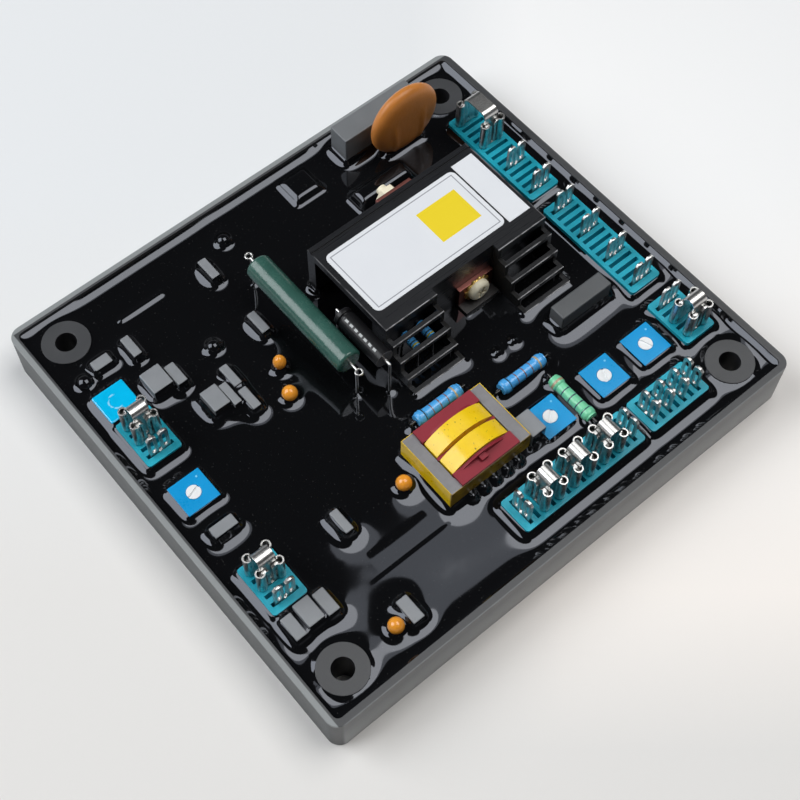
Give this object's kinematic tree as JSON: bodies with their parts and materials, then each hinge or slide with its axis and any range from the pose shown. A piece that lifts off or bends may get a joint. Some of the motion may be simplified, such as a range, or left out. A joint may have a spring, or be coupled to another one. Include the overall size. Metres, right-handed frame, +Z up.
{
  "type": "automatic voltage regulator",
  "caption": "Potted generator voltage regulator in a shallow moulded tray: slotted terminal blocks with push-on links, preset trimmers, finned heatsink, transformer and coated components.",
  "frame": {"origin": "bottom centre of the tray, on the plane that it is fixed to", "axes": "+X along the tray's long side, +Y across it towards the side with the box capacitor, +Z up out of the open tray"},
  "size_m": [0.15, 0.136, 0.0357],
  "materials": {
    "tray_plastic": "satin moulded plastic",
    "board": "glass-fibre laminate",
    "resin": "glossy potting resin",
    "black_anodised": "black anodised",
    "label_white": "printed film",
    "device_black": "moulded epoxy",
    "zinc": "zinc plated",
    "teal_plastic": "moulded plastic",
    "tin": "bright tin plate",
    "trimmer_blue": "moulded plastic",
    "lacquer_blue": "sealing lacquer",
    "rotor_white": "moulded plastic",
    "core_grey": "laminated steel",
    "bobbin_maroon": "moulded plastic",
    "tape_yellow": "polyester tape",
    "green_enamel": "enamel",
    "can_black": "shrink sleeve",
    "varistor_orange": "dipped epoxy",
    "capacitor_grey": "moulded box",
    "film_grey": "moulded box",
    "bead_orange": "dipped epoxy",
    "coat_black": "resin coat",
    "resistor_blue": "lacquer",
    "resistor_green": "lacquer"
  },
  "bodies": {
    "regulator": {"tray": "tray_plastic", "circuit_board": "board", "potting_resin": "resin", "heatsink": "black_anodised", "blank_label": "label_white", "strip_label": "label_white", "front_power_device": "device_black", "front_device_screw": "zinc", "rear_power_device": "device_black", "rear_device_bolt": "zinc", "terminal_block_a": "teal_plastic", "terminal_block_b": "teal_plastic", "terminal_block_c": "teal_plastic", "terminal_block_d": "teal_plastic", "terminal_block_e": "teal_plastic", "terminal_block_f": "teal_plastic", "terminal_block_g": "teal_plastic", "blade_tabs_a": "tin", "blade_tabs_b": "tin", "blade_tabs_c": "tin", "blade_tabs_d": "tin", "blade_tabs_e": "tin", "blade_tabs_f": "tin", "blade_tabs_g": "tin", "link_a": "tin", "link_c": "tin", "links_e": "tin", "link_f": "tin", "link_g": "tin", "trimmer_1": "trimmer_blue", "trimmer_2": "trimmer_blue", "trimmer_3": "trimmer_blue", "trimmer_4": "trimmer_blue", "sealed_trimmer": "lacquer_blue", "transformer_core": "core_grey", "transformer_bobbin": "bobbin_maroon", "transformer_winding": "tape_yellow", "transformer_pins": "tin", "power_resistor": "green_enamel", "power_resistor_leads": "tin", "electrolytic_can": "can_black", "electrolytic_leads": "tin", "disc_varistor": "varistor_orange", "varistor_legs": "tin", "box_capacitor": "capacitor_grey", "film_capacitor": "film_grey", "small_film_capacitors": "capacitor_grey", "bead_capacitors": "bead_orange", "coated_transistors": "coat_black", "coated_blocks": "coat_black", "blue_resistor_a": "resistor_blue", "blue_resistor_b": "resistor_blue", "green_resistor": "resistor_green", "small_blue_resistors": "resistor_blue"},
    "rotor_1": {"trimmer_rotor_1": "rotor_white"},
    "rotor_2": {"trimmer_rotor_2": "rotor_white"},
    "rotor_3": {"trimmer_rotor_3": "rotor_white"},
    "rotor_4": {"trimmer_rotor_4": "rotor_white"}
  },
  "joints": [
    {"name": "trimmer_1_turn", "type": "hinge", "parent": "regulator", "child": "rotor_1", "pos_m": [-0.064, 0.001, 0.0119], "axis": [0, 0, 1], "range_deg": [-135, 135]},
    {"name": "trimmer_2_turn", "type": "hinge", "parent": "regulator", "child": "rotor_2", "pos_m": [0.0361, -0.0395, 0.0119], "axis": [0, 0, 1], "range_deg": [-135, 135]},
    {"name": "trimmer_3_turn", "type": "hinge", "parent": "regulator", "child": "rotor_3", "pos_m": [0.0508, -0.0395, 0.0119], "axis": [0, 0, 1], "range_deg": [-135, 135]},
    {"name": "trimmer_4_turn", "type": "hinge", "parent": "regulator", "child": "rotor_4", "pos_m": [0.0174, -0.0394, 0.0119], "axis": [0, 0, 1], "range_deg": [-135, 135]}
  ]
}
